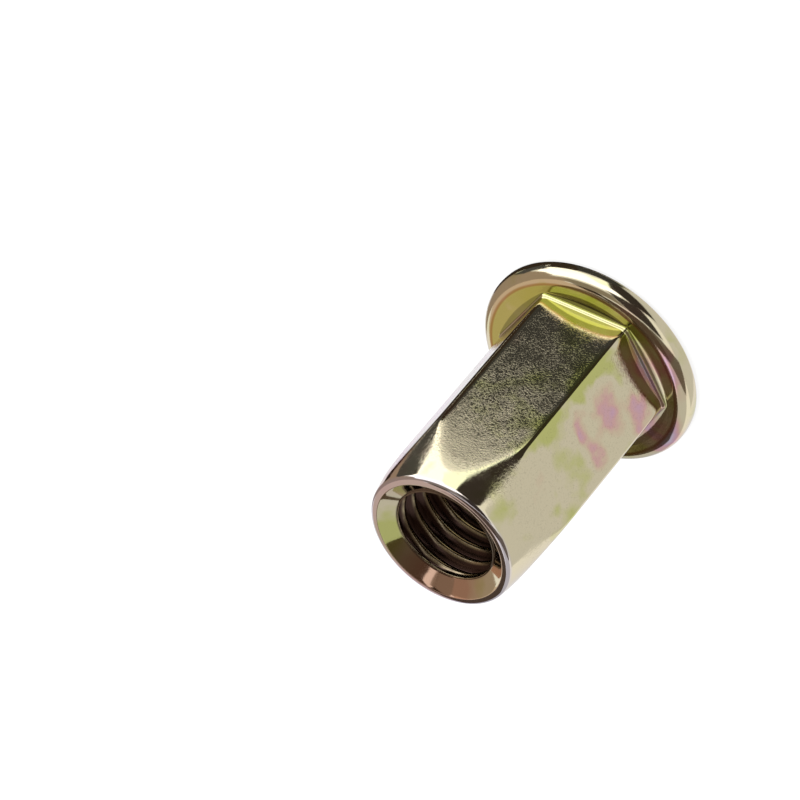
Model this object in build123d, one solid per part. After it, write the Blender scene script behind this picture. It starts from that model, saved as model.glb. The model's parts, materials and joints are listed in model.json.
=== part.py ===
from build123d import *
import math
import os

# Flat-head rivet nut with a hexagonal shank, M10 x 1.5, open at both ends.
# The frame: the flange's outer face lies on Z = 0, the axis is Z, and the threaded end points to +Z.
# The screw thread itself is not cut here: the bore has the thread's minor diameter.

# Driving dimensions, in millimetres and degrees.
thread_bore_diameter = 8.5     # minor diameter of the M10 thread
thread_length = 11.0           # full thread between the shoulder and the countersink
countersink_depth = 1.0        # lead-in at the threaded end
shoulder_width = 1.4           # step from the thread's bore out to the thin tube's bore
shoulder_height = 0.8          # the step is a shallow cone, as a drill leaves it
tube_depth = 11.2              # bore of the thin tube that collapses when the nut is set
tube_wall = 0.85               # the tube's wall at the middle of a flat
tube_mouth_round = 0.5         # rounded entry of the tube at the flange's face

hex_corner_round = 0.6         # radius along the shank's six edges

flange_overhang = 3.0          # reach of the flange beyond the flats
flange_thickness = 1.9
flange_face_round = 0.4        # rim's edge toward the open face
flange_back_round = 0.75       # rim's edge toward the shank
rim_bulge = 0.06               # the rim's side is slightly convex

collar_step = 0.15             # the low collar under the flange is this much outside the flats
collar_land = 0.12             # upright edge of the collar
collar_slope = 45.0            # bevel from the collar's edge up to the flats
collar_corner_reach = 0.2      # how far the collar's corners stand outside the shank's edges

nose_drop = 0.3                # the nose's end is this much inside the flats
nose_angle = 11.0              # half-angle of the nose's cone
nose_edge_round = 0.45         # rounding of the nose's end
end_lip = 0.6                  # ring between the countersink and the nose's cone

# Sizes that follow.
thread_bore_radius = thread_bore_diameter / 2
tube_radius = thread_bore_radius + shoulder_width
flat_distance = tube_radius + tube_wall
edge_radius = (flat_distance - hex_corner_round) / math.cos(math.radians(30)) + hex_corner_round
flange_radius = flat_distance + flange_overhang
nose_end_radius = flat_distance - nose_drop
countersink_radius = nose_end_radius - end_lip
overall_length = tube_depth + shoulder_height + thread_length + countersink_depth
collar_corner_radius = edge_radius + collar_corner_reach
root = flange_thickness / 2    # depth to which the shank and the collar run into the flange


def revolved(outline):
    """Solid of revolution about Z from an outline of radius and height."""
    return revolve(make_face(Plane.XZ * outline), axis=Axis.Z)


def hexagon(distance, height):
    """Hexagon with its corner on +X, its flats at the given distance from the axis."""
    return Plane.XY.offset(height) * RegularPolygon(distance, 6, major_radius=False)


def flange():
    """Flat head: a disc with a convex rim, rounded toward the face and toward the shank."""
    side = flange_radius - rim_bulge
    outline = Polyline((side, flange_thickness), (0, flange_thickness), (0, 0), (side, 0))
    outline += ThreePointArc((side, 0), (flange_radius, root), (side, flange_thickness))
    profile = make_face(outline)
    face_corner, back_corner = profile.vertices().group_by(Axis.X)[-1].sort_by(Axis.Y)
    profile = fillet(face_corner, flange_face_round)
    back_corner = profile.vertices().group_by(Axis.Y)[-1].sort_by(Axis.X).last
    profile = fillet(back_corner, flange_back_round)
    return revolve(Plane.XZ * profile, axis=Axis.Z)


def nose_envelope():
    """Cone that the shank's threaded end is turned down to, with a rounded end."""
    slope = math.tan(math.radians(nose_angle))
    base_radius = nose_end_radius + slope * (overall_length - root)
    outline = Polyline(
        (0, root),
        (base_radius, root),
        (nose_end_radius, overall_length),
        (0, overall_length),
        close=True,
    )
    cone = revolved(outline)
    end = cone.edges().filter_by(GeomType.CIRCLE).sort_by(Axis.Z).last
    return fillet(end, min(nose_edge_round, 0.8 * end_lip))


def shank():
    """Hexagonal tube body with rounded edges, cut to arcs by the nose's cone."""
    prism = extrude(hexagon(flat_distance, root), overall_length - root)
    prism = fillet(prism.edges().filter_by(Axis.Z), hex_corner_round)
    return prism & nose_envelope()


def collar():
    """Low hexagonal step at the shank's foot: an upright edge, then a bevel up to the flats."""
    distance = flat_distance + collar_step
    land_top = flange_thickness + collar_land
    land = extrude(hexagon(distance, root), land_top - root)
    rise = (collar_step + tube_wall / 4) / math.tan(math.radians(collar_slope))
    bevel = extrude(hexagon(distance, land_top), rise, taper=collar_slope)
    corners = Plane.XY.offset(root) * Circle(collar_corner_radius)
    return (land + bevel) & extrude(corners, land_top + rise - root)


def bore():
    """Everything that is open along the axis: thin tube, shoulder, thread bore and countersink."""
    clear = flange_thickness
    shoulder_end = tube_depth + shoulder_height
    thread_end = shoulder_end + thread_length
    widen = (countersink_radius - thread_bore_radius) / countersink_depth
    outline = Polyline(
        (0, 0),
        (tube_radius, 0),
        (tube_radius, tube_depth),
        (thread_bore_radius, shoulder_end),
        (thread_bore_radius, thread_end),
        (countersink_radius + widen * clear, overall_length + clear),
        (0, overall_length + clear),
        close=True,
    )
    return revolved(outline)


def rivet_nut():
    """The whole nut, one piece of steel."""
    body = flange() + shank() + collar() - bore()
    mouth = body.edges().filter_by(GeomType.CIRCLE).group_by(Axis.Z)[0].sort_by(SortBy.RADIUS).first
    return fillet(mouth, min(tube_mouth_round, 0.8 * flange_overhang))


os.makedirs("parts", exist_ok=True)
nut = rivet_nut()
export_step(nut, "parts/rivet_nut.step")
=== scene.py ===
"""Flat-head rivet nut with a hexagonal shank: its looks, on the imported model's frame."""
import json
import math

import bpy
from mathutils import Matrix, Vector


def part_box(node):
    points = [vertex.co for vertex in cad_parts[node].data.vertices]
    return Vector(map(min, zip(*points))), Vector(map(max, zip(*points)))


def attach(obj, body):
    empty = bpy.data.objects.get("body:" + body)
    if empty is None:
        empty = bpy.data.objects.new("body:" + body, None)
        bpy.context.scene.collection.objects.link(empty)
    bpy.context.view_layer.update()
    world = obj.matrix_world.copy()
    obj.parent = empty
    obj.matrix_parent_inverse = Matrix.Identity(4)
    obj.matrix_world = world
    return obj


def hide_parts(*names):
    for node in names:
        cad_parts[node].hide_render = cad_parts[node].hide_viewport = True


bl_info = {
    "name": "Hexagonal rivet nut",
    "version": (1, 0, 0),
    "blender": (4, 5, 0),
    "location": "View3D > Sidebar > Rivet nut",
    "description": "Builds a plated rivet nut with its screw thread, and a small white studio",
    "category": "Object",
}

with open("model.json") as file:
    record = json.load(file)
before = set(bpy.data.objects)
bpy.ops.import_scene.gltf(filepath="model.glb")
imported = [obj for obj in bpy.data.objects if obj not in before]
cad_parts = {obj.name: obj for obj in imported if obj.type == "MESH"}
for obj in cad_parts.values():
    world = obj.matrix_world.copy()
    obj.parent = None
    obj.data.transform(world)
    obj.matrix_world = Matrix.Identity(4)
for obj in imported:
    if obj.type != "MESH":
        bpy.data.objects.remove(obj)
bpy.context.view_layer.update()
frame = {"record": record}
NODE = "rivet_nut"
LOW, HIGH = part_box(NODE)
MOUNTS = {mount["name"]: mount for mount in frame["record"]["mounts"]}
MM = 0.001
DEGREE = math.pi / 180
THREAD_BORE = MOUNTS["thread"]["dims"]["r_mm"] * MM
TUBE_BORE = MOUNTS["tube_bore"]["dims"]["r_mm"] * MM
THREAD_MIDDLE = MOUNTS["thread"]["pos_m"][2]
THREAD_HALF = MOUNTS["thread"]["dims"]["length_mm"] * MM / 2
THREAD_START, THREAD_END = THREAD_MIDDLE - THREAD_HALF, THREAD_MIDDLE + THREAD_HALF
SEAT_HEIGHT = MOUNTS["seat"]["pos_m"][2]
SHOULDER_HEIGHT = 0.8 * MM
RIM_BULGE = 0.06 * MM
BULGE_ROUND = 1.6 * MM


def linear(hex_colour):
    """Linear RGBA of an sRGB hex colour."""
    digits = hex_colour.lstrip("#")
    values = [int(digits[i : i + 2], 16) / 255 for i in (0, 2, 4)]
    return [v / 12.92 if v <= 0.04045 else ((v + 0.055) / 1.055) ** 2.4 for v in values] + [1.0]


def length(name, description, default):
    """A size in metres that a user may change."""
    return bpy.props.FloatProperty(
        name=name, description=description, default=default, unit="LENGTH", precision=5
    )


def angle(name, description, default):
    """An angle, given here in degrees."""
    return bpy.props.FloatProperty(
        name=name, description=description, default=default * DEGREE, subtype="ANGLE"
    )


def count(name, description, default):
    """A whole number of steps."""
    return bpy.props.IntProperty(name=name, description=description, default=default, min=1)


def level(name, description, default):
    """A plain number without a unit."""
    return bpy.props.FloatProperty(name=name, description=description, default=default)


def tint(name, description, default):
    """A colour, given here as sRGB hex."""
    return bpy.props.FloatVectorProperty(
        name=name, description=description, default=linear(default), size=4, subtype="COLOR"
    )


class NutSizes(bpy.types.PropertyGroup):
    """Sizes of the nut."""

    flat_distance: length("Flat distance", "From the axis to a flat of the shank", 6.5 * MM)
    edge_sharpness: level("Edge sharpness", "Higher makes the shank's six edges sharper", 48)
    nose_sharpness: level("Nose sharpness", "Higher makes the nose's arcs on the flats sharper", 90)
    nose_end: length("Nose end radius", "Radius of the nose's cone at its end", 6.2 * MM)
    nose_angle: angle("Nose angle", "Half-angle of the nose's cone", 11.0)
    nose_round: length("Nose round", "Rounding of the nose's end", 0.45 * MM)
    end_lip: length("End lip", "Ring between the countersink and the nose's cone", 0.6 * MM)
    collar_step: length("Collar step", "How far the collar stands outside the flats", 0.15 * MM)
    collar_land: length("Collar land", "Height of the collar's upright edge", 0.12 * MM)
    collar_slope: angle("Collar slope", "Bevel from the collar's edge up to the flats", 40.0)
    collar_reach: length("Collar reach", "Radius of the collar's corners", 7.61 * MM)
    rim_face_round: length("Rim face round", "Rounding of the rim toward the open face", 0.4 * MM)
    rim_back_round: length("Rim back round", "Rounding of the rim toward the shank", 1.15 * MM)
    mouth_round: length("Mouth round", "Rounding of the tube's mouth", 0.5 * MM)
    edge_break: length("Edge break", "Small rounding of every other edge", 0.08 * MM)
    pitch: length("Pitch", "Pitch of the M10 thread", 1.5 * MM)
    thread_root: length("Thread root", "Major radius of the thread", 5.0 * MM)
    thread_fade: length("Thread fade", "Length over which the thread's ends run out", 0.25 * MM)
    around: count("Steps around", "Facets around the nut, a multiple of six", 360)


class NutFinish(bpy.types.PropertyGroup):
    """Colours of the plating."""

    straw: tint("Straw", "Main colour of the yellow passivation", "#e1d6b6")
    green: tint("Green", "The thinnest film, and again the thickest", "#cacb80")
    peach: tint("Peach", "Between straw and pink", "#e0cbae")
    pink: tint("Pink", "Where the film is thicker than straw", "#e0b4ae")
    magenta: tint("Magenta", "Thicker than pink", "#d8b0c2")
    lavender: tint("Lavender", "Thicker than magenta, and almost white", "#d2cbdc")
    amber: tint("Amber", "The film where the bath gathered by the rim", "#b07a48")
    olive: tint("Olive", "The film where the bath lay against the collar", "#bcc04c")
    copper: tint("Copper", "The film in the countersink, where the bath drained last", "#d4ae96")
    grime: tint("Grime", "Dark residue in the grain", "#4a4433")
    # Groove: partly the thick brown film in the thread, partly painted shade in the thread's
    # grooves and at the bore's mouth.
    groove: tint("Groove", "The film in the thread, where it is thick and brown", "#4a3832")
    crest: tint("Crest", "Thread crests, rubbed bright by the tap", "#d8c7a0")
    roughness: level("Roughness", "Roughness of the plated skin", 0.05)


class Studio(bpy.types.PropertyGroup):
    """Camera, floor and light."""

    aim: bpy.props.FloatVectorProperty(
        name="Aim",
        description="Point that the camera looks at",
        default=(-2.41 * MM, 9.31 * MM, 14.58 * MM),
        unit="LENGTH",
    )
    azimuth: angle("Azimuth", "Way round to the camera", 92.77)
    elevation: angle("Elevation", "Height of the camera", 37.21)
    roll: angle("Roll", "Turn of the camera about its view", -139.12)
    distance: length("Distance", "From the camera to the aim point", 362.6 * MM)
    lens: level("Lens", "Focal length in millimetres on a 36 mm sensor", 208.5)
    floor_size: length("Floor size", "Width of the floor", 1.2)
    tent_radius: length("Tent radius", "Distance of the cards from the nut", 150 * MM)


MATH, VECTOR, MIX = "ShaderNodeMath", "ShaderNodeVectorMath", "ShaderNodeMix"
MAP, NOISE = "ShaderNodeMapRange", "ShaderNodeTexNoise"
SOFT = {"interpolation_type": "SMOOTHSTEP"}


def add(tree, kind, *values, links=None, **settings):
    """Outputs of a new node with its settings, and its inputs set or linked in order or by key."""
    node = tree.nodes.new(kind)
    for name, value in settings.items():
        setattr(node, name, value)
    for key, value in [*enumerate(values), *(links or {}).items()]:
        socket = node.inputs[key]
        if isinstance(value, bpy.types.NodeSocket):
            tree.links.new(value, socket)
        else:
            socket.default_value = value
    return node.outputs


# ---------------------------------------------------------------- outlines


def rounded(corners):
    """Outline through corners of radius, height, rounding and steps: points and their corners."""
    points, owners = [], []
    size = len(corners)
    for index, (radius, height, rounding, steps) in enumerate(corners):
        here = Vector((radius, height))
        if rounding:
            before = Vector(corners[index - 1][:2])
            after = Vector(corners[(index + 1) % size][:2])
            back, ahead = (before - here).normalized(), (after - here).normalized()
            half = back.angle(ahead) / 2
            centre = here + (back + ahead).normalized() * rounding / math.sin(half)
            first = here + back * rounding / math.tan(half) - centre
            last = here + ahead * rounding / math.tan(half) - centre
            turn = first.angle_signed(last)
            for step in range(steps + 1):
                points.append(centre + Matrix.Rotation(-turn * step / steps, 2) @ first)
                owners.append(index)
        else:
            points.append(here)
            owners.append(index)
    return points, owners


def run(start, end, steps):
    """Corners without rounding that divide the straight way from start to end."""
    (r0, z0), (r1, z1) = start, end
    shares = [(step + 1) / (steps + 1) for step in range(steps)]
    return [(r0 + (r1 - r0) * s, z0 + (z1 - z0) * s, 0, 0) for s in shares]


# Zones of the outline: turned only, broached to the hexagon, and sheared to the thread's helix.
PLAIN, BROACHED, TAPPED = 0.0, 1.0, 2.0
# Spacing of the rows at the collar and on the nose, and the length over which the nose has them.
COLLAR_ROW, NOSE_ROW, NOSE_LENGTH = 0.035 * MM, 0.15 * MM, 7 * MM
CREST_ROUND, ROOT_ROUND = 0.04 * MM, 0.06 * MM
# Plain bore left between the thread and the rounded edges at its two ends.
SHOULDER_GAP, MOUTH_GAP = 0.03 * MM, 0.06 * MM
# Fillets under the collar's bevel, round its corners, and where it meets the flats.
BEVEL_FILLET, CORNER_FILLET, FOOT_FILLET = 0.06 * MM, 0.05 * MM, 0.04 * MM
WELD = 1e-7


def head_corners(sizes):
    """The flange: the tube's rounded mouth, the face, the rim and the seat in to the collar."""
    rim = HIGH.x
    side = rim - RIM_BULGE
    corners = [(TUBE_BORE, 0, sizes.mouth_round, 7)]
    corners += run((TUBE_BORE + sizes.mouth_round, 0), (rim - sizes.rim_face_round, 0), 5)
    corners += [(side, 0, sizes.rim_face_round, 8), (rim, SEAT_HEIGHT / 3, BULGE_ROUND, 5)]
    corners += [(side, SEAT_HEIGHT, sizes.rim_back_round, 14)]
    seat = (rim - sizes.rim_back_round, SEAT_HEIGHT), (sizes.collar_reach, SEAT_HEIGHT)
    return corners + run(*seat, 5)


def shank_corners(sizes):
    """The nose's cone carried down to the seat, with close rows at the collar and the nose."""
    end_slope = math.tan(sizes.nose_angle)
    heights = [SEAT_HEIGHT + step * COLLAR_ROW for step in range(13)]
    heights += [SEAT_HEIGHT + (1 + step) * MM for step in range(14)]
    heights += [HIGH.z - NOSE_LENGTH + step * NOSE_ROW for step in range(44)]
    return [(sizes.nose_end + end_slope * (HIGH.z - z), z, 0, 0) for z in heights]


def thread_corners(sizes):
    """The thread's teeth from the countersink down, one above it and one past the shoulder."""
    bore, root, pitch = THREAD_BORE, sizes.thread_root, sizes.pitch
    crest, wall = pitch / 16, pitch * 7 / 16
    corners = []
    for tooth in range(math.ceil((THREAD_END - THREAD_START) / pitch) + 2):
        top = THREAD_END - (tooth - 1) * pitch
        bottom = top - pitch
        corners += [(bore, top - crest, CREST_ROUND, 1)]
        corners += run((bore, top - crest), (root, top - wall), 2)
        corners += [(root, top - wall, ROOT_ROUND, 1), (root, bottom + wall, ROOT_ROUND, 1)]
        corners += run((root, bottom + wall), (bore, bottom + crest), 2)
        corners += [(bore, bottom + crest, CREST_ROUND, 1)]
    return corners


def turned_outline(sizes):
    """Half-section of the nut as it is turned, with the thread's teeth: points and their zones."""
    lip = sizes.nose_end - sizes.end_lip
    tube_end = THREAD_START - SHOULDER_HEIGHT
    small = sizes.edge_break

    end = [(sizes.nose_end, HIGH.z, sizes.nose_round, 8), (lip, HIGH.z, small, 4)]
    end += run((lip, HIGH.z), (THREAD_BORE, THREAD_END), 6)
    end += [(THREAD_BORE, THREAD_END, small, 3)]
    inside = [(THREAD_BORE, THREAD_START, small, 3)]
    inside += run((THREAD_BORE, THREAD_START), (TUBE_BORE, tube_end), 3)
    inside += [(TUBE_BORE, tube_end, small, 3)]
    inside += run((TUBE_BORE, tube_end), (TUBE_BORE, sizes.mouth_round), 8)

    parts = [
        (head_corners(sizes), PLAIN),
        (shank_corners(sizes), BROACHED),
        (end, PLAIN),
        (thread_corners(sizes), TAPPED),
        (inside, PLAIN),
    ]
    zones = [zone for corners, zone in parts for _ in corners]
    points, owners = rounded([corner for corners, _ in parts for corner in corners])
    return points, [zones[owner] for owner in owners]


def wire(name, points):
    """Mesh object of points of radius and height, joined in a closed loop."""
    mesh = bpy.data.meshes.new(name)
    pairs = [(i, (i + 1) % len(points)) for i in range(len(points))]
    mesh.from_pydata([(p[0], 0, p[1]) for p in points], pairs, [])
    made = bpy.data.objects.new(name, mesh)
    bpy.context.scene.collection.objects.link(made)
    return made


# ---------------------------------------------------------------- node groups


def new_group(name, inputs):
    """Geometry Nodes group with a geometry in and out, and named inputs of (name, socket type)."""
    tree = bpy.data.node_groups.new(name, "GeometryNodeTree")
    tree.interface.new_socket("Geometry", in_out="INPUT", socket_type="NodeSocketGeometry")
    for label, kind in inputs:
        tree.interface.new_socket(label, in_out="INPUT", socket_type=kind)
    tree.interface.new_socket("Geometry", in_out="OUTPUT", socket_type="NodeSocketGeometry")
    return tree, add(tree, "NodeGroupInput")


def finish_group(tree, geometry, dress):
    """Closes seams, shades smoothly, and ends with the materials of (material, selection)."""
    flipped = add(tree, "GeometryNodeFlipFaces", geometry)[0]
    links = {"Geometry": flipped, "Distance": WELD}
    merged = add(tree, "GeometryNodeMergeByDistance", links=links)[0]
    smooth = add(tree, "GeometryNodeSetShadeSmooth", merged)[0]
    dressed = add(tree, "GeometryNodeRealizeInstances", smooth)[0]
    for material, selection in dress:
        links = {"Selection": selection, "Material": material}
        dressed = add(tree, "GeometryNodeSetMaterial", dressed, links=links)[0]
    add(tree, "NodeGroupOutput", dressed)


def lattice(tree, across, along):
    """Grid of points with its two whole-number coordinates, counted from zero."""
    rows = add(tree, MATH, across, 1, operation="ADD")[0]
    columns = add(tree, MATH, along, 1, operation="ADD")[0]
    grid = add(tree, "GeometryNodeMeshGrid", 1.0, 1.0, rows, columns)[0]
    place = add(tree, "ShaderNodeSeparateXYZ", add(tree, "GeometryNodeInputPosition")[0])
    kept = add(tree, "GeometryNodeCaptureAttribute", grid)[0].node
    for label in ("Row", "Column"):
        kept.capture_items.new("FLOAT", label)
    for index, steps in enumerate((across, along)):
        share = add(tree, MATH, place[index], 0.5, operation="ADD")[0]
        counted = add(tree, MATH, share, steps, operation="MULTIPLY")[0]
        tree.links.new(add(tree, MATH, counted, operation="ROUND")[0], kept.inputs[index + 1])
    return kept.outputs[:3]


def outline_sample(tree, geometry, index, size, field, data_type):
    """Value of a field at one point of the outline, counted round the loop."""
    wrapped = add(tree, MATH, index, size, operation="MODULO")[0]
    links = {"Geometry": geometry, "Value": field, "Index": wrapped}
    settings = {"data_type": data_type, "domain": "POINT"}
    return add(tree, "GeometryNodeSampleIndex", links=links, **settings)[0]


def placed(tree, grid, radius, turn, height):
    """The grid's points moved to a radius, an angle about Z and a height."""
    ways = [add(tree, MATH, turn, operation=way)[0] for way in ("COSINE", "SINE")]
    x, y = [add(tree, MATH, radius, way, operation="MULTIPLY")[0] for way in ways]
    spot = add(tree, "ShaderNodeCombineXYZ", x, y, height)[0]
    return add(tree, "GeometryNodeSetPosition", grid, links={"Position": spot})[0]


def soft_less(tree, first, second, sharpness):
    """The lesser of two ratios near one, blended more closely as sharpness grows."""
    power = add(tree, MATH, sharpness, -1, operation="MULTIPLY")[0]
    raised = [add(tree, MATH, ratio, power, operation="POWER")[0] for ratio in (first, second)]
    total = add(tree, MATH, *raised, operation="ADD")[0]
    root = add(tree, MATH, -1, sharpness, operation="DIVIDE")[0]
    return add(tree, MATH, total, root, operation="POWER")[0]


def flat_ratios(tree, turn):
    """How far out the nearest flat's plane lies at an angle, and the next one's, as ratios."""
    sixth = math.pi / 3
    past_edge = add(tree, MATH, turn, sixth, operation="MODULO")[0]
    centred = add(tree, MATH, past_edge, sixth / 2, operation="SUBTRACT")[0]
    from_flat = add(tree, MATH, centred, operation="ABSOLUTE")[0]
    to_next = add(tree, MATH, sixth, from_flat, operation="SUBTRACT")[0]
    cosines = [add(tree, MATH, way, operation="COSINE")[0] for way in (from_flat, to_next)]
    return [add(tree, MATH, 1, cosine, operation="DIVIDE")[0] for cosine in cosines]


def broached_radius(tree, given, envelope, height, turn):
    """The hexagonal shank inside the turned envelope, with the collar at its foot."""
    near, far = flat_ratios(tree, turn)
    distance = given["Flat distance"]
    hexagon = soft_less(tree, near, far, given["Edge sharpness"])
    nose = add(tree, MATH, envelope, distance, operation="DIVIDE")[0]
    nosed = soft_less(tree, hexagon, nose, given["Nose sharpness"])
    shank = add(tree, MATH, distance, nosed, operation="MULTIPLY")[0]

    above_seat = add(tree, MATH, height, given["Seat height"], operation="SUBTRACT")[0]
    above_land = add(tree, MATH, above_seat, given["Collar land"], operation="SUBTRACT")[0]
    bevel_height = add(tree, MATH, above_land, 0, BEVEL_FILLET, operation="SMOOTH_MAX")[0]
    stepped = add(tree, MATH, distance, given["Collar step"], operation="ADD")[0]
    drop = add(tree, MATH, bevel_height, given["Collar slope"], operation="MULTIPLY")[0]
    bevelled = add(tree, MATH, stepped, drop, operation="SUBTRACT")[0]
    flats = add(tree, MATH, near, far, operation="MINIMUM")[0]
    collar = add(tree, MATH, flats, bevelled, operation="MULTIPLY")[0]
    reach = given["Collar reach"]
    collar = add(tree, MATH, collar, reach, CORNER_FILLET, operation="SMOOTH_MIN")[0]
    return add(tree, MATH, shank, collar, FOOT_FILLET, operation="SMOOTH_MAX")[0]


def sheared_teeth(tree, given, envelope, height, column):
    """Radius and height of the teeth, raised round the axis to a helix and faded at both ends."""
    low, high, bore = given["Thread start"], given["Thread end"], given["Thread bore"]
    climb = add(tree, MATH, given["Pitch"], column, operation="MULTIPLY")[0]
    helix = add(tree, MATH, climb, given["Steps around"], operation="DIVIDE")[0]
    climbed = add(tree, MATH, height, helix, operation="ADD")[0]
    above_low = add(tree, MATH, climbed, low, operation="MAXIMUM")[0]
    tooth_height = add(tree, MATH, above_low, high, operation="MINIMUM")[0]
    from_low = add(tree, MATH, tooth_height, low, operation="SUBTRACT")[0]
    to_high = add(tree, MATH, high, tooth_height, operation="SUBTRACT")[0]
    to_end = add(tree, MATH, from_low, to_high, operation="MINIMUM")[0]
    kept = add(tree, MAP, to_end, 0.0, given["Thread fade"], **SOFT)[0]
    depth = add(tree, MATH, envelope, bore, operation="SUBTRACT")[0]
    kept_depth = add(tree, MATH, depth, kept, operation="MULTIPLY")[0]
    return add(tree, MATH, bore, kept_depth, operation="ADD")[0], tooth_height


def nut_group():
    """Revolves an outline, broaches its shank to a hexagon, and shears its teeth to a helix."""
    number, whole = "NodeSocketFloat", "NodeSocketInt"
    tree, given = new_group(
        "Rivet nut",
        [
            ("Rows", whole),
            ("Steps around", whole),
            ("Flat distance", number),
            ("Edge sharpness", number),
            ("Nose sharpness", number),
            ("Seat height", number),
            ("Collar step", number),
            ("Collar land", number),
            ("Collar reach", number),
            ("Collar slope", number),
            ("Pitch", number),
            ("Thread start", number),
            ("Thread end", number),
            ("Thread bore", number),
            ("Thread fade", number),
            ("Skin", "NodeSocketMaterial"),
            ("Tapped skin", "NodeSocketMaterial"),
        ],
    )
    grid, row, column = lattice(tree, given["Rows"], given["Steps around"])
    outline = (tree, given["Geometry"], row, given["Rows"])
    position = add(tree, "GeometryNodeInputPosition")[0]
    turned = add(tree, "ShaderNodeSeparateXYZ", outline_sample(*outline, position, "FLOAT_VECTOR"))
    envelope, height = turned[0], turned[2]
    marked = {"Name": "zone"}
    marked = add(tree, "GeometryNodeInputNamedAttribute", links=marked, data_type="FLOAT")[0]
    zone = outline_sample(*outline, marked, "FLOAT")
    broached = add(tree, MATH, zone, BROACHED, 0.1, operation="COMPARE")[0]
    tapped = add(tree, MATH, zone, TAPPED, 0.1, operation="COMPARE")[0]
    circled = add(tree, MATH, column, math.tau, operation="MULTIPLY")[0]
    turn = add(tree, MATH, circled, given["Steps around"], operation="DIVIDE")[0]

    outside = broached_radius(tree, given, envelope, height, turn)
    groove, tooth_height = sheared_teeth(tree, given, envelope, height, column)
    radius = add(tree, MIX, links={0: broached, 2: envelope, 3: outside}, data_type="FLOAT")[0]
    radius = add(tree, MIX, links={0: tapped, 2: radius, 3: groove}, data_type="FLOAT")[0]
    raised = add(tree, MIX, links={0: tapped, 2: height, 3: tooth_height}, data_type="FLOAT")[0]
    body = placed(tree, grid, radius, turn, raised)
    in_thread = add(tree, MATH, tapped, 0.4, operation="GREATER_THAN")[0]
    finish_group(tree, body, [(given["Skin"], True), (given["Tapped skin"], in_thread)])
    return tree


def grown(source, group, name, **values):
    """Plain mesh object that a node group makes from a wire, with the group's inputs by name."""
    modifier = source.modifiers.new(group.name, "NODES")
    modifier.node_group = group
    for item in group.interface.items_tree:
        label = item.name.lower().replace(" ", "_")
        if item.in_out == "INPUT" and label in values:
            modifier[item.identifier] = values[label]
    depsgraph = bpy.context.evaluated_depsgraph_get()
    mesh = bpy.data.meshes.new_from_object(source.evaluated_get(depsgraph))
    made = bpy.data.objects.new(name, mesh)
    mesh.name = name
    while None in mesh.materials[:]:
        mesh.materials.pop(index=mesh.materials[:].index(None))
    bpy.context.scene.collection.objects.link(made)
    bpy.data.objects.remove(source)
    return made


# ---------------------------------------------------------------- finishes

# Patches where the bath left a thicker or a thinner film: name, angle round the nut in degrees,
# distance from the axis, height, width and length in mm, and how far the film's colour moves on.
STAINS = [
    ("pink_beside_edge", -42, 7, 11.3, 1.7, 1.2, 0.18),
    ("pink_on_flat", -22, 7, 11.1, 1.3, 1.0, 0.18),
    ("magenta_on_flat", -29, 7, 7.8, 2.8, 1.9, 0.24),
    ("magenta_by_head", -44, 7, 5.0, 2.2, 1.6, 0.22),
    ("grey_pink_on_flat", -27, 7, 19.5, 2.6, 3.4, 0.1),
    ("green_on_flat", -32, 7, 15.0, 3.2, 2.4, -0.04),
    ("green_beside_edge", -55, 7, 16.0, 1.2, 5.0, -0.07),
    ("green_along_edge", -2, 7.4, 10.0, 1.0, 9.0, -0.14),
    ("green_on_nose", -13, 6.4, 22.4, 1.8, 1.9, -0.1),
    ("green_in_countersink", 130, 5.6, 23.9, 2.8, 2.0, -0.14),
    ("peach_on_rim", 36, 9.2, 1.3, 4.6, 1.6, 0.06),
    ("straw_on_rim", -24, 9.4, 1.0, 3.4, 1.6, -0.06),
    ("mauve_under_head", -86, 6.9, 1.9, 3.2, 1.2, 0.36),
    ("brown_beside_collar", -30, 7.2, 1.9, 2.6, 1.0, 0.29),
    ("lavender_on_flat", 92, 6.8, 14.0, 3.2, 12.0, 0.16),
]

# Patches of one colour: centre, width, length along the axis and strength, and their limit.
OLIVE_PATCH, OLIVE_LIMIT = ((6.9, 4.0, 1.9), 6.0, 1.3, 1.4), 0.4
COPPER_PATCH, COPPER_LIMIT = ((-4.75, -2.97, 23.9), 3.4, 3.0, 1.6), 1.0

# Colour of the film by its thickness, on a scale of its own.
FILM_COLOURS = (
    (0.32, "green"),
    (0.42, "straw"),
    (0.49, "straw"),
    (0.55, "peach"),
    (0.60, "pink"),
    (0.66, "magenta"),
    (0.76, "lavender"),
    (0.90, "green"),
)
# The film's thickness on that scale where nothing else acts, and how far its drifts move it.
FILM_BASE, SLOW_DRIFT, QUICK_DRIFT = 0.18, 0.4, 0.12

# Soft borders of the finish in mm, from where it stops to where it is full: radii from the axis,
# and heights above the flange's face.
SEAT_FILM, SEAT_FILM_REACH = (2.06, 1.96), (8.7, 8.2)
AMBER_INSIDE, AMBER_OUTSIDE, AMBER_HEIGHT = (8.25, 8.4), (8.65, 8.45), (1.7, 1.8)
OLIVE_REACH = (8.4, 8.2)
# Border of the groove's dark brown at the thread's mouth: partly thick film, partly painted shade
# inside the bore.
THREAD_MOUTH_FILM_AND_SHADE = (4.48, 4.34)
LIP_HEIGHT, LIP_INSIDE = (23.5, 23.9), (5.55, 5.7)
GRAIN_REACH, GRAIN_NOSE, GRAIN_FOOT = (7.32, 7.2), (23.6, 21.0), (2.4, 4.6)
DULL_NOSE = (17.0, 20.5)
RUBBED_CREST = (4.5, 4.27)
# The same for the grain's own value, where it holds residue and where it stands up.
GRAIN_RESIDUE, GRAIN_SPECKS = (0.5, 0.75), (0.42, 0.72)

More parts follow.
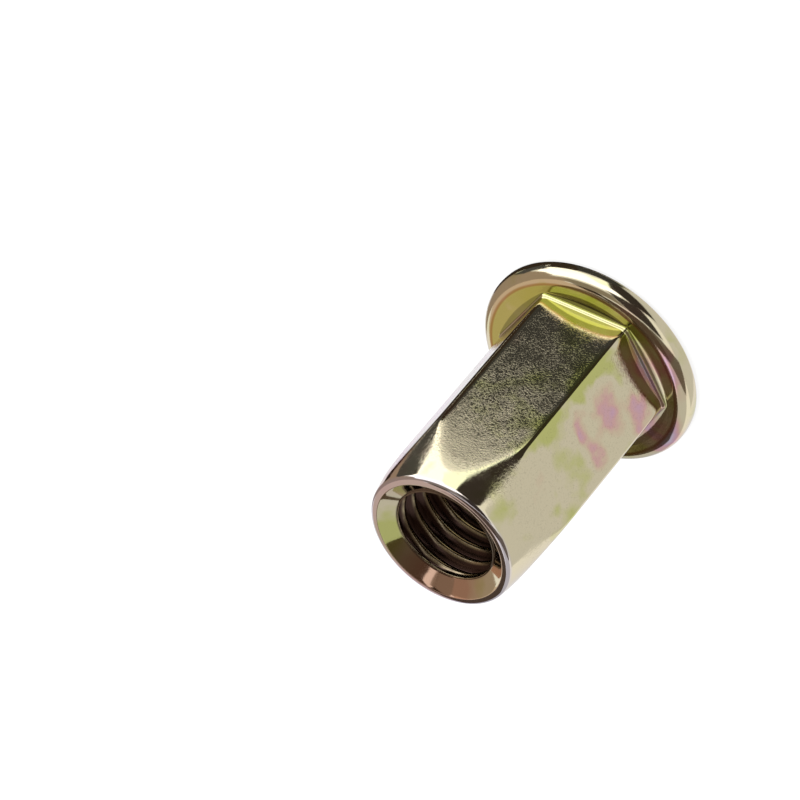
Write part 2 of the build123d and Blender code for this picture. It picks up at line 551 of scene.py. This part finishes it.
# Noise by the size in mm of its features. The die's real grain is finer: it is drawn at 0.17 mm,
# so that it shows.
DRIFT = {"Scale": 1 / 4.5, "Detail": 1.0, "Distortion": 0.5}
WANDER = {"Scale": 1 / 1.1}
FRAY = {"Scale": 1 / 1.6667, "Detail": 1.5}
GRAIN = {"Scale": 1 / 0.17, "Detail": 4.0, "Distortion": 0.6, "Roughness": 0.62}
WEAR = {"Scale": 1 / 1.3}
WAVE = {"Scale": 1 / 1.7, "Detail": 1.0}
RUBBING = {"Scale": 1 / 0.7, "Detail": 3.0}


def new_material(name):
    """Node material with only an output, and its tree."""
    material = bpy.data.materials.new(name)
    material.use_nodes = True
    material.node_tree.nodes.clear()
    return material, material.node_tree


def millimetres(tree):
    """Object coordinates in millimetres."""
    place = add(tree, "ShaderNodeTexCoord")["Object"]
    return add(tree, VECTOR, links={0: place, 3: 1000.0}, operation="SCALE")[0]


def axis_distance(tree, place):
    """Distance from the nut's axis."""
    flat = add(tree, VECTOR, place, (1, 1, 0), operation="MULTIPLY")[0]
    return add(tree, VECTOR, flat, operation="LENGTH")["Value"]


def frayed_place(tree, place):
    """Coordinates pushed about by up to a millimetre, so that a patch's outline is ragged."""
    ragged = add(tree, NOISE, place, links=FRAY)["Color"]
    shift = add(tree, VECTOR, ragged, (0.5,) * 3, operation="SUBTRACT")[0]
    return add(tree, VECTOR, shift, (2.0,) * 3, place, operation="MULTIPLY_ADD")[0]


def within(tree, strength, *borders):
    """The strength where every value is inside its soft border, and nothing outside."""
    for value, border in borders:
        share = add(tree, MAP, value, *border, **SOFT)[0]
        strength = add(tree, MATH, strength, share, operation="MULTIPLY")[0]
    return strength


def stain(tree, place, centre, width, length_along, thicker):
    """Thicker film in a soft round patch about a centre in millimetres, longer along the axis."""
    away = add(tree, VECTOR, place, centre, operation="SUBTRACT")[0]
    share = add(tree, VECTOR, away, (width, width, length_along), operation="DIVIDE")[0]
    reach = add(tree, VECTOR, share, operation="LENGTH")["Value"]
    return add(tree, MAP, reach, 1.5, 0.1, 0.0, thicker, **SOFT)[0]


def film_thickness(tree, place, frayed, wander):
    """The film's drifts and stains together."""
    film = add(tree, NOISE, place, links=DRIFT)[0]
    film = add(tree, MATH, film, SLOW_DRIFT, FILM_BASE, operation="MULTIPLY_ADD")[0]
    film = add(tree, MATH, wander, QUICK_DRIFT, film, operation="MULTIPLY_ADD")[0]
    for _, turn, out, height, width, length_along, thicker in STAINS:
        centre = (out * math.cos(turn * DEGREE), out * math.sin(turn * DEGREE), height)
        patch = stain(tree, frayed, centre, width, length_along, thicker)
        film = add(tree, MATH, film, patch, operation="ADD")[0]
    return film


def film_colour(tree, film, finish):
    """The colour that the film's thickness gives."""
    colour = add(tree, "ShaderNodeValToRGB", film)[0]
    stops = colour.node.color_ramp.elements
    for index, (thickness, name) in enumerate(FILM_COLOURS):
        stop = stops[index] if index < 2 else stops.new(thickness)
        stop.position = thickness
        stop.color = getattr(finish, name)
    return colour


def coloured_places(tree, radius, height, frayed):
    """Where the film has a colour of its own: pairs of the colour's name and its share."""
    olive = stain(tree, frayed, *OLIVE_PATCH)
    olive = add(tree, MATH, olive, OLIVE_LIMIT, operation="MINIMUM")[0]
    copper = stain(tree, frayed, *COPPER_PATCH)
    rim = ((height, AMBER_HEIGHT), (radius, AMBER_INSIDE), (radius, AMBER_OUTSIDE))
    return [
        ("amber", within(tree, 0.65, *rim)),
        ("olive", within(tree, olive, (radius, OLIVE_REACH))),
        ("copper", add(tree, MATH, copper, COPPER_LIMIT, operation="MINIMUM")[0]),
        # The groove's dark brown inside the bore's mouth: partly thick film, partly painted shade.
        ("groove", within(tree, 0.85, (radius, THREAD_MOUTH_FILM_AND_SHADE))),
        ("lavender", within(tree, 0.7, (radius, LIP_INSIDE), (height, LIP_HEIGHT))),
    ]


def yellow_passivated_zinc(finish):
    """Zinc plate with a yellow passivation on formed steel.

    The film is a few tenths of a micrometre thick and its thickness wanders, so the colour drifts
    between green, straw, pink and lavender over several millimetres. The forming die leaves a fine
    grain on the flats, with darker residue in it, and the turned rim and nose are smoother.
    """
    material, tree = new_material("yellow_passivated_zinc")
    place = millimetres(tree)
    height = add(tree, "ShaderNodeSeparateXYZ", place)[2]
    radius = axis_distance(tree, place)
    frayed = frayed_place(tree, place)
    wander = add(tree, NOISE, place, links=WANDER)[0]
    grain = add(tree, NOISE, place, links=GRAIN)[0]
    wear = add(tree, NOISE, place, links=WEAR)[0]
    wave = add(tree, NOISE, place, links=WAVE)[0]
    scored = within(tree, 1.0, (radius, GRAIN_REACH), (height, GRAIN_NOSE), (height, GRAIN_FOOT))
    by_head = within(tree, 1.0, (height, SEAT_FILM))

    film = film_thickness(tree, place, frayed, wander)
    seat = within(tree, by_head, (radius, SEAT_FILM_REACH))
    film = add(tree, MATH, seat, -0.2, film, operation="MULTIPLY_ADD")[0]
    colour = film_colour(tree, film, finish)
    residue = within(tree, scored, (grain, GRAIN_RESIDUE))
    residue = add(tree, MATH, residue, 0.2, operation="MULTIPLY")[0]
    places = coloured_places(tree, radius, height, frayed) + [("grime", residue)]
    for name, share in places:
        links = {0: share, 6: colour, 7: getattr(finish, name)}
        colour = add(tree, MIX, links=links, data_type="RGBA")[2]

    dulled = within(tree, scored, (height, DULL_NOSE))
    roughness = add(tree, MATH, wander, 0.04, finish.roughness, operation="MULTIPLY_ADD")[0]
    roughness = add(tree, MATH, dulled, 0.06, roughness, operation="MULTIPLY_ADD")[0]
    roughness = add(tree, MATH, by_head, 0.04, roughness, operation="MULTIPLY_ADD")[0]

    worn = add(tree, MAP, wear, 0.35, 0.65, 0.6, 1.0, **SOFT)[0]
    specks = within(tree, scored, (grain, GRAIN_SPECKS))
    specks = add(tree, MATH, specks, worn, operation="MULTIPLY")[0]
    relief = add(tree, MATH, specks, 0.42, wave, operation="MULTIPLY_ADD")[0]
    bump = add(tree, "ShaderNodeBump", links={"Distance": 0.01 * MM, "Height": relief})[0]
    links = {
        "Base Color": colour,
        "Metallic": 1.0,
        "Roughness": roughness,
        "Specular Tint": linear("#ecebf6"),
        "Normal": bump,
    }
    shader = add(tree, "ShaderNodeBsdfPrincipled", links=links)[0]
    add(tree, "ShaderNodeOutputMaterial", shader)
    return material


def tapped_thread_zinc(finish):
    """The same plating in the tapped thread: dark brown in the grooves, partly thick film and
    partly painted shade, and bright on the crests.
    """
    material, tree = new_material("tapped_thread_zinc")
    place = millimetres(tree)
    rubbing = add(tree, NOISE, place, links=RUBBING)[0]
    rubbed = within(tree, rubbing, (axis_distance(tree, place), RUBBED_CREST))
    # Dark brown from the roots up to the crests: partly thick film, partly painted shade in the
    # grooves.
    links = {0: rubbed, 6: finish.groove, 7: finish.crest}
    colour = add(tree, MIX, links=links, data_type="RGBA")[2]
    links = {"Base Color": colour, "Metallic": 1.0, "Roughness": 0.2}
    shader = add(tree, "ShaderNodeBsdfPrincipled", links=links)[0]
    add(tree, "ShaderNodeOutputMaterial", shader)
    return material


def plain_light(name, colour, strength):
    """Even light, for a card."""
    material, tree = new_material(name)
    add(tree, "ShaderNodeOutputMaterial", add(tree, "ShaderNodeEmission", colour, strength)[0])
    return material


# ---------------------------------------------------------------- operators

FLOOR_GAP = 0.01 * MM
LAMP_PLACE, LAMP_WIDTH, LAMP_POWER = (-0.05, 0.05, 0.4), 0.25, 2.2
# Share of the floor that the camera sees as even white; the rest takes the lamp and the shadow.
EVEN_WHITE = 0.85
# Strength of the world as fill, and what is added for the camera and the metal.
FILL, FILL_SEEN = 0.8, 0.2


class NUT_OT_camera(bpy.types.Operator):
    """Sets a long lens on the nut, turned about its view"""

    bl_idname = "nut.camera"
    bl_label = "Camera"

    def execute(self, context):
        studio = context.scene.nut_studio
        around, up = studio.azimuth, studio.elevation
        back = Vector(
            (math.sin(around) * math.cos(up), -math.cos(around) * math.cos(up), math.sin(up))
        )
        data = bpy.data.cameras.new("camera")
        data.lens = studio.lens
        data.sensor_width = 36
        data.clip_start, data.clip_end = 0.01, 10
        camera = bpy.data.objects.new("camera", data)
        context.scene.collection.objects.link(camera)
        upright = (-back).to_track_quat("-Z", "Y").to_matrix()
        turned = upright @ Matrix.Rotation(studio.roll, 3, "Z")
        place = Vector(studio.aim) + back * studio.distance
        camera.matrix_world = Matrix.Translation(place) @ turned.to_4x4()
        context.scene.camera = camera
        return {"FINISHED"}


class NUT_OT_body(bpy.types.Operator):
    """Turns the nut's outline, broaches its shank and collar, and taps its thread"""

    bl_idname = "nut.body"
    bl_label = "Nut"

    def execute(self, context):
        sizes, finish = context.scene.nut_sizes, context.scene.nut_finish
        points, zones = turned_outline(sizes)
        outline = wire("turned_outline", points)
        outline.data.attributes.new("zone", "FLOAT", "POINT").data.foreach_set("value", zones)
        nut = grown(
            outline,
            nut_group(),
            "rivet_nut_skin",
            rows=len(points),
            steps_around=sizes.around,
            flat_distance=sizes.flat_distance,
            edge_sharpness=sizes.edge_sharpness,
            nose_sharpness=sizes.nose_sharpness,
            seat_height=SEAT_HEIGHT,
            collar_step=sizes.collar_step,
            collar_land=sizes.collar_land,
            collar_reach=sizes.collar_reach,
            collar_slope=math.tan(sizes.collar_slope),
            pitch=sizes.pitch,
            thread_start=THREAD_START + SHOULDER_GAP,
            thread_end=THREAD_END - MOUTH_GAP,
            thread_bore=THREAD_BORE,
            thread_fade=sizes.thread_fade,
            skin=yellow_passivated_zinc(finish),
            tapped_skin=tapped_thread_zinc(finish),
        )
        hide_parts(NODE)
        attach(nut, "root")
        return {"FINISHED"}


class NUT_OT_stage(bpy.types.Operator):
    """Lays the white floor and hangs the lamp and the cards that the metal reflects"""

    bl_idname = "nut.stage"
    bl_label = "Stage"

    def execute(self, context):
        studio = context.scene.nut_studio
        half = studio.floor_size / 2
        mesh = bpy.data.meshes.new("floor")
        corners = [(-half, -half, 0), (half, -half, 0), (half, half, 0), (-half, half, 0)]
        mesh.from_pydata(corners, [], [(0, 1, 2, 3)])
        floor = bpy.data.objects.new("floor", mesh)
        floor.location.z = LOW.z - FLOOR_GAP
        floor.visible_glossy = False
        mesh.materials.append(white_floor())
        context.scene.collection.objects.link(floor)
        hang_cards(context.scene.camera.matrix_world.to_3x3(), studio.tent_radius)
        lamp_data = bpy.data.lights.new("overhead", "AREA")
        lamp_data.shape = "DISK"
        lamp_data.size = LAMP_WIDTH
        lamp_data.energy = LAMP_POWER
        lamp = bpy.data.objects.new("overhead", lamp_data)
        lamp.location = LAMP_PLACE
        lamp.rotation_euler = (-lamp.location).to_track_quat("-Z", "Y").to_euler()
        lamp.visible_glossy = False
        lamp.visible_camera = False
        context.scene.collection.objects.link(lamp)
        white_world(context.scene)
        context.scene.view_settings.view_transform = "Standard"
        return {"FINISHED"}


# Each card: name, angle across and angle up in degrees as the photographer stands, where 0, 0 is
# straight behind the nut, 90 is to the right and 180 is behind the camera; its width and height
# in degrees, its light, where 1 is white, its colour, and its distance as a share of the tent's.
CARDS = [
    ("softbox_left", -137, 48, 78, 58, 2.1, "#f6f6ff", 0.985),
    ("softbox_foot", -143, 19, 66, 9, 0.9, "#ffffff", 0.975),
    ("softbox_high", -98, 67, 62, 20, 1.9, "#ffffff", 0.98),
    ("softbox_over_camera", 174, 64, 26, 24, 1.6, "#f6fff0", 0.99),
    ("card_front_left", -140, 0, 44, 32, 0.28, "#fff0dc", 1.01),
    ("flag_overhead", 28, 77, 44, 34, 0.05, "#ffffff", 0.96),
    ("flag_behind_high", -6, 36, 52, 46, 0.05, "#e8c8a8", 0.965),
    ("flag_left_top", -36, 70, 26, 26, 0.05, "#e8c8a8", 0.962),
    ("wall_right", 92, 14, 76, 104, 0.7, "#ffffff", 1.02),
    ("flag_right_high", 141, 50, 42, 46, 0.05, "#f0dcd4", 0.95),
    ("flag_right", 172, 6, 50, 44, 0.06, "#f0dcd4", 0.94),
    ("table_front_right", 146, -42, 60, 40, 0.2, "#e8d8c8", 1.01),
    ("table_below", 80, -80, 150, 50, 0.62, "#ffffff", 1.03),
    ("flag_left_high", -56, 44, 24, 26, 0.08, "#ffffff", 0.95),
    ("wall_left", -74, 12, 92, 50, 0.42, "#f4dcc8", 0.99),
    ("table_left", -86, -38, 60, 56, 0.66, "#ffe6d2", 1.0),
    ("flag_front_low", -126, -22, 18, 14, 0.06, "#e8c8a8", 0.97),
    ("flag_low_behind", -56, -63, 46, 26, 0.11, "#e8c8a8", 0.95),
    ("flag_low_left", -155, -40, 50, 38, 0.12, "#e8c8b0", 0.96),
]


def hang_card(name, middle, upward, width, height, strength, colour):
    """A card of the given light that faces the nut, seen only in the metal."""
    inward = (Vector((0, 0, HIGH.z / 2)) - middle).normalized()
    sideways = inward.cross(upward).normalized()
    upward = sideways.cross(inward)
    corners = [
        middle + sideways * width * x + upward * height * y
        for x, y in ((-0.5, -0.5), (0.5, -0.5), (0.5, 0.5), (-0.5, 0.5))
    ]
    mesh = bpy.data.meshes.new(name)
    mesh.from_pydata(corners, [], [(0, 1, 2, 3)])
    mesh.materials.append(plain_light(name, linear(colour), strength))
    card = bpy.data.objects.new(name, mesh)
    card.visible_camera = False
    card.visible_diffuse = False
    card.visible_shadow = False
    bpy.context.scene.collection.objects.link(card)


def hang_cards(camera, tent_radius):
    """The tent's cards, at their angles as seen along the camera's view."""
    for name, across, up, width, height, strength, colour, share in CARDS:
        turn, rise, radius = across * DEGREE, up * DEGREE, tent_radius * share
        seen = Vector(
            (math.sin(turn) * math.cos(rise), math.sin(rise), -math.cos(turn) * math.cos(rise))
        )
        upward = Vector(
            (-math.sin(turn) * math.sin(rise), math.cos(rise), math.cos(turn) * math.sin(rise))
        )
        hang_card(
            name,
            Vector((0, 0, HIGH.z / 2)) + camera @ seen * radius,
            camera @ upward,
            2 * radius * math.tan(width * DEGREE / 2),
            2 * radius * math.tan(height * DEGREE / 2),
            strength,
            colour,
        )


def white_floor():
    """White paper: even white for the camera, and partly lit so that a shadow shows."""
    material, tree = new_material("white_paper")
    paper = add(tree, "ShaderNodeBsdfDiffuse", (0.9, 0.9, 0.9, 1))[0]
    white = add(tree, "ShaderNodeEmission", (1, 1, 1, 1), 1.0)[0]
    seen = add(tree, "ShaderNodeLightPath")["Is Camera Ray"]
    share = add(tree, MATH, seen, EVEN_WHITE, operation="MULTIPLY")[0]
    mixed = add(tree, "ShaderNodeMixShader", share, paper, white)[0]
    add(tree, "ShaderNodeOutputMaterial", mixed)
    return material


def white_world(scene):
    """White all round for the camera and the metal, and a paler fill for everything else."""
    world = bpy.data.worlds.new("white_room")
    world.use_nodes = True
    tree = world.node_tree
    tree.nodes.clear()
    path = add(tree, "ShaderNodeLightPath")
    seen = [path["Is Camera Ray"], path["Is Glossy Ray"]]
    seen = add(tree, MATH, *seen, operation="MAXIMUM")[0]
    strength = add(tree, MATH, seen, FILL_SEEN, FILL, operation="MULTIPLY_ADD")[0]
    light = add(tree, "ShaderNodeBackground", (1, 1, 1, 1), strength)[0]
    add(tree, "ShaderNodeOutputWorld", light)
    scene.world = world


class NUT_PT_panel(bpy.types.Panel):
    """Lists the steps and their sizes and colours"""

    bl_idname = "NUT_PT_panel"
    bl_label = "Rivet nut"
    bl_space_type = "VIEW_3D"
    bl_region_type = "UI"
    bl_category = "Rivet nut"

    def draw(self, context):
        for step in STEPS:
            self.layout.operator(step.bl_idname)
        for group in (context.scene.nut_sizes, context.scene.nut_finish, context.scene.nut_studio):
            box = self.layout.box()
            for name in group.__annotations__:
                box.prop(group, name)


STEPS = (NUT_OT_camera, NUT_OT_body, NUT_OT_stage)
CLASSES = (NutSizes, NutFinish, Studio, *STEPS, NUT_PT_panel)


def register():
    """Adds the panel, its steps and the scene's settings."""
    for cls in CLASSES:
        bpy.utils.register_class(cls)
    bpy.types.Scene.nut_sizes = bpy.props.PointerProperty(type=NutSizes)
    bpy.types.Scene.nut_finish = bpy.props.PointerProperty(type=NutFinish)
    bpy.types.Scene.nut_studio = bpy.props.PointerProperty(type=Studio)


def unregister():
    """Takes them out again."""
    del bpy.types.Scene.nut_studio
    del bpy.types.Scene.nut_finish
    del bpy.types.Scene.nut_sizes
    for cls in reversed(CLASSES):
        bpy.utils.unregister_class(cls)


def main():
    """Builds the nut and its studio."""
    register()
    bpy.ops.nut.camera()
    bpy.ops.nut.body()
    bpy.ops.nut.stage()


if __name__ == "__main__":
    main()
